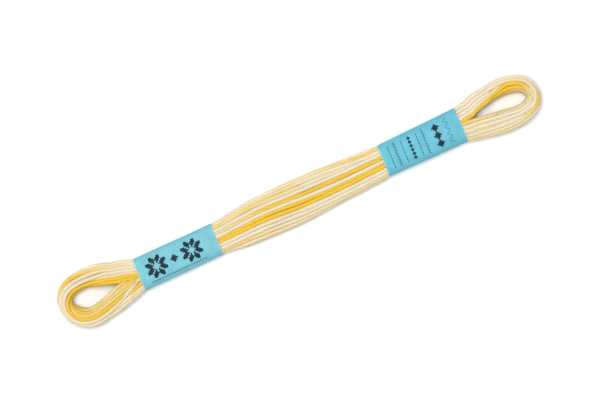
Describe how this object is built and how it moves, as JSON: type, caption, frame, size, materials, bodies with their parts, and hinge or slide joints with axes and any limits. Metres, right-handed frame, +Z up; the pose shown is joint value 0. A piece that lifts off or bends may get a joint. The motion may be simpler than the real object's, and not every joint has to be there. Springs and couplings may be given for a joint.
{
  "type": "skein of embroidery floss",
  "caption": "Flat wound hank of variegated stranded cotton with an open eye at each end, held by two paper bands.",
  "frame": {"origin": "on the surface, under the middle of the skein's box", "axes": "+X along the skein towards the wider band's eye, +Y across it, +Z up from the flat underside"},
  "size_m": [0.158, 0.02, 0.0079],
  "materials": {
    "variegated_cotton": "mercerised cotton with a soft sheen",
    "left_band_paper": "coated paper, satin",
    "right_band_paper": "coated paper, satin"
  },
  "bodies": {
    "root": {"floss_hank": "variegated_cotton", "paper_band_left": "left_band_paper", "paper_band_right": "right_band_paper"}
  },
  "joints": []
}
